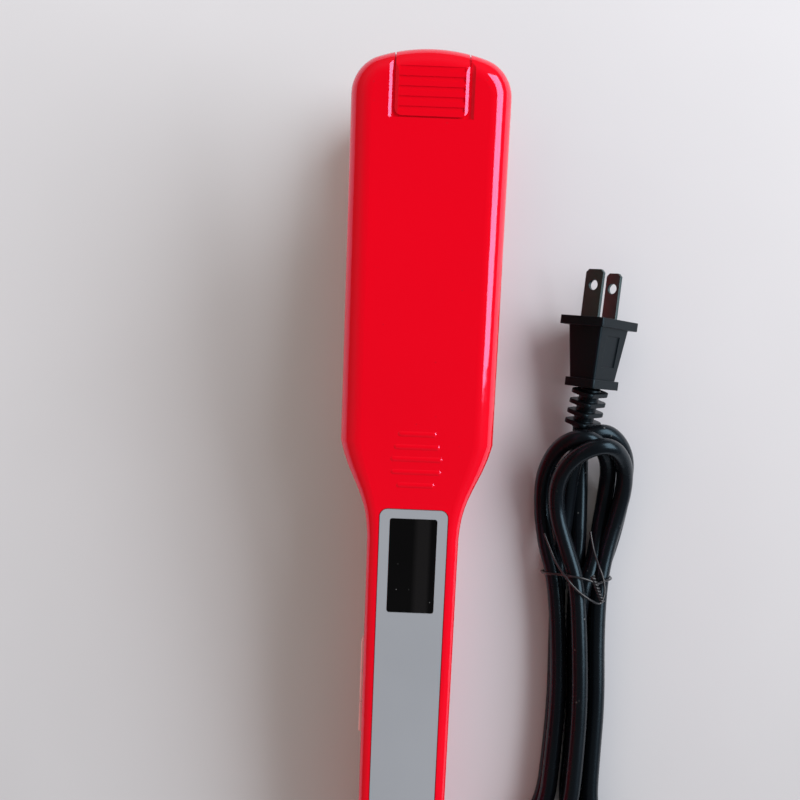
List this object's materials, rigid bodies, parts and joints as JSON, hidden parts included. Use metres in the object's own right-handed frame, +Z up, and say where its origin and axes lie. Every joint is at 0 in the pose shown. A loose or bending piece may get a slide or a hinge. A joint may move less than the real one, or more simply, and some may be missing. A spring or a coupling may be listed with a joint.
{
  "type": "hair straightener",
  "caption": "Wide-plate hair straightener: two sprung hinged arms, floating heater plates, side buttons, display window, swivel mains cord in a tied hank, flat two-blade plug.",
  "frame": {"origin": "bottom centre of the object without its cord, on the surface it lies on", "axes": "+Y from the hinge towards the tips, +Z up, +X to the right with the tips pointing away"},
  "size_m": [0.1181, 0.4081, 0.0927],
  "materials": {
    "shell_red": "glossy moulded plastic",
    "pad_red": "glossy moulded plastic with fine ribs",
    "cover_black": "fine textured heat-resistant plastic",
    "steel": "bright zinc plated",
    "cushion_silicone": "silicone",
    "lead_silicone": "silicone insulated wire",
    "contact_brass": "polished",
    "plate_coating": "dark ceramic coating on aluminium",
    "heater_ceramic": "ceramic heater in an aluminium frame",
    "sensor_body": "glass bead and sleeve",
    "panel_grey": "satin silver paint",
    "lens_black": "clear window over black",
    "module_grey": "display glass in a frame",
    "board_green": "solder mask",
    "switch_black": "moulded",
    "cap_chrome": "polished",
    "button_red": "glossy moulded plastic",
    "cord_black": "smooth vinyl sheath",
    "moulded_black": "moulded vinyl",
    "blade_nickel": "nickel plated brass",
    "tie_wire": "plastic coated wire"
  },
  "bodies": {
    "lower_arm": {"lower_shell": "shell_red", "lower_cover": "cover_black", "lower_nose_pad": "pad_red", "lower_cover_screws": "steel", "lower_plate_cushions": "cushion_silicone", "lower_leads": "lead_silicone", "hinge_screws": "steel", "contact_brushes": "contact_brass", "hinge_spring": "steel", "cord_lead": "cord_black", "cord_hank": "cord_black", "wire_tie": "tie_wire", "plug_body": "moulded_black", "plug_blade_wide": "blade_nickel", "plug_blade_narrow": "blade_nickel", "plug_strain_relief": "moulded_black"},
    "upper_arm": {"upper_shell": "shell_red", "upper_cover": "cover_black", "upper_nose_pad": "pad_red", "upper_cover_screws": "steel", "upper_plate_cushions": "cushion_silicone", "upper_leads": "lead_silicone", "display_panel": "panel_grey", "display_lens": "lens_black", "display_module": "module_grey", "circuit_board": "board_green", "tact_switches": "switch_black", "hinge_caps": "cap_chrome"},
    "upper_plate_carriage": {"upper_plate": "plate_coating", "upper_heater": "heater_ceramic", "upper_heater_clamp": "steel", "temperature_sensor": "sensor_body"},
    "lower_plate_carriage": {"lower_plate": "plate_coating", "lower_heater": "heater_ceramic", "lower_heater_clamp": "steel", "thermal_fuse": "sensor_body"},
    "up_button": {"up_button": "button_red"},
    "down_button": {"down_button": "button_red"},
    "power_button": {"power_button": "button_red"},
    "cord_swivel": {"swivel_boot": "moulded_black", "slip_rings": "contact_brass"}
  },
  "joints": [
    {"name": "main_hinge", "type": "hinge", "parent": "lower_arm", "child": "upper_arm", "pos_m": [0, -0.113, 0.023], "axis": [-1, 0, 0], "range_deg": [0, 9.5], "stiffness_Nm_per_rad": 1, "springref_deg": -34.38, "deforming": ["hinge_spring"]},
    {"name": "upper_plate_float", "type": "slide", "parent": "upper_arm", "child": "upper_plate_carriage", "axis": [0, -0.165, 0.9863], "range_m": [0, 0.001], "stiffness_N_per_m": 4000, "springref_m": -0.002},
    {"name": "lower_plate_float", "type": "slide", "parent": "lower_arm", "child": "lower_plate_carriage", "axis": [0, 0, -1], "range_m": [0, 0.001], "stiffness_N_per_m": 4000, "springref_m": -0.002},
    {"name": "up_button_press", "type": "slide", "parent": "upper_arm", "child": "up_button", "axis": [1, 0, 0], "range_m": [0, 0.0006], "stiffness_N_per_m": 1500, "springref_m": -0.0006},
    {"name": "down_button_press", "type": "slide", "parent": "upper_arm", "child": "down_button", "axis": [1, 0, 0], "range_m": [0, 0.0006], "stiffness_N_per_m": 1500, "springref_m": -0.0006},
    {"name": "power_button_press", "type": "slide", "parent": "upper_arm", "child": "power_button", "axis": [1, 0, 0], "range_m": [0, 0.0006], "stiffness_N_per_m": 1500, "springref_m": -0.0006},
    {"name": "cord_swivel_turn", "type": "hinge", "parent": "lower_arm", "child": "cord_swivel", "pos_m": [0, -0.143, 0.023], "axis": [0, 1, 0], "continuous": true}
  ]
}
